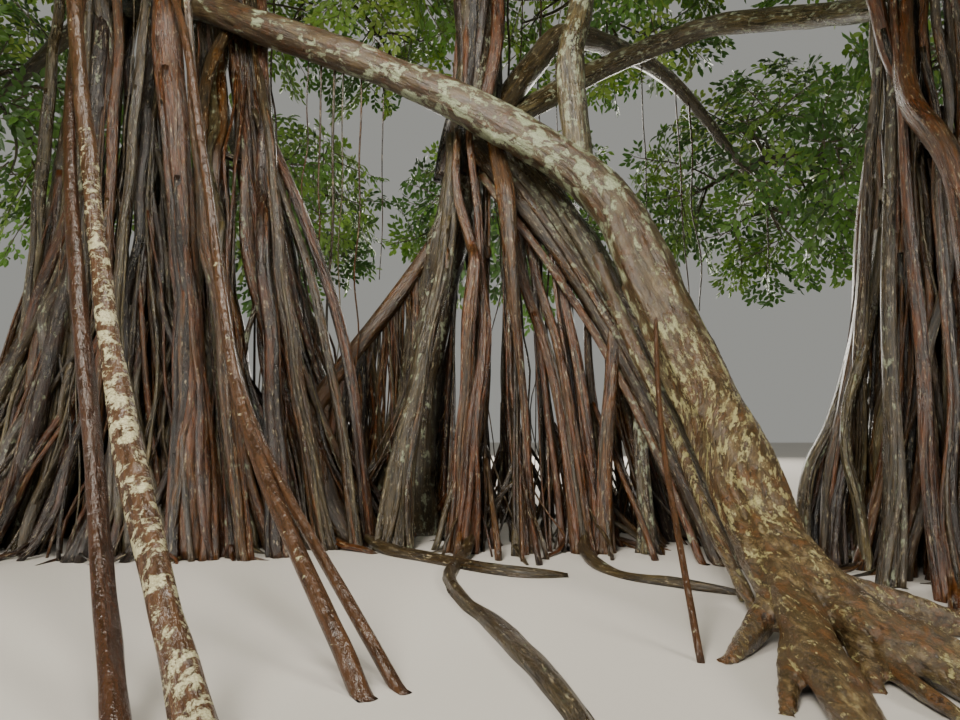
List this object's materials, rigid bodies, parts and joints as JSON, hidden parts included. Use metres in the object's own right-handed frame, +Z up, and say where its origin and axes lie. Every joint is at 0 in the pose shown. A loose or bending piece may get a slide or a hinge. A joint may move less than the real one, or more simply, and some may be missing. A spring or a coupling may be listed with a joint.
{
  "type": "banyan tree",
  "caption": "Old banyan with trunks fused from aerial roots, a great limb that has bent down and rooted in front, prop roots and a wide rounded crown.",
  "frame": {"origin": "on the ground, in the middle of the main stem's flat-cut foot", "axes": "+Z up, -Y towards the side that the picture shows, +X to the right in it"},
  "size_m": [17.7837, 16.4973, 11.3616],
  "materials": {
    "bark": "damp rust-brown and grey bark of fused roots, with pale lichen",
    "limb_bark": "wet brown bark mottled with crisp grey-green lichen",
    "leaf": "glossy bright to mid green leaves"
  },
  "bodies": {
    "root": {"bough_middle_1": "bark", "bough_middle_2": "bark", "bough_middle_3": "bark", "bough_middle_4": "bark", "bough_middle_5": "bark", "bough_middle_6": "bark", "bough_middle_7": "bark", "bough_outer_1": "bark", "bough_outer_2": "bark", "bough_outer_3": "bark", "bough_outer_4": "bark", "bough_outer_5": "bark", "bough_outer_6": "bark", "bough_outer_7": "bark", "bough_outer_8": "bark", "bough_outer_9": "bark", "bough_top_1": "bark", "bough_top_2": "bark", "bough_top_3": "bark", "bridge_bough_inner": "bark", "bridge_bough_outer": "bark", "great_limb_lower": "limb_bark", "great_limb_upper": "limb_bark", "hanging_root": "bark", "leaves_middle_1": "leaf", "leaves_middle_2": "leaf", "leaves_middle_3": "leaf", "leaves_middle_4": "leaf", "leaves_middle_5": "leaf", "leaves_middle_6": "leaf", "leaves_middle_7": "leaf", "leaves_outer_1": "leaf", "leaves_outer_2": "leaf", "leaves_outer_3": "leaf", "leaves_outer_4": "leaf", "leaves_outer_5": "leaf", "leaves_outer_6": "leaf", "leaves_outer_7": "leaf", "leaves_outer_8": "leaf", "leaves_outer_9": "leaf", "leaves_top_1": "leaf", "leaves_top_2": "leaf", "leaves_top_3": "leaf", "left_trunk": "bark", "limb_branch": "bark", "main_trunk": "bark", "prop_root_1": "bark", "prop_root_2": "bark", "prop_root_3": "bark", "right_trunk": "bark"}
  },
  "joints": []
}
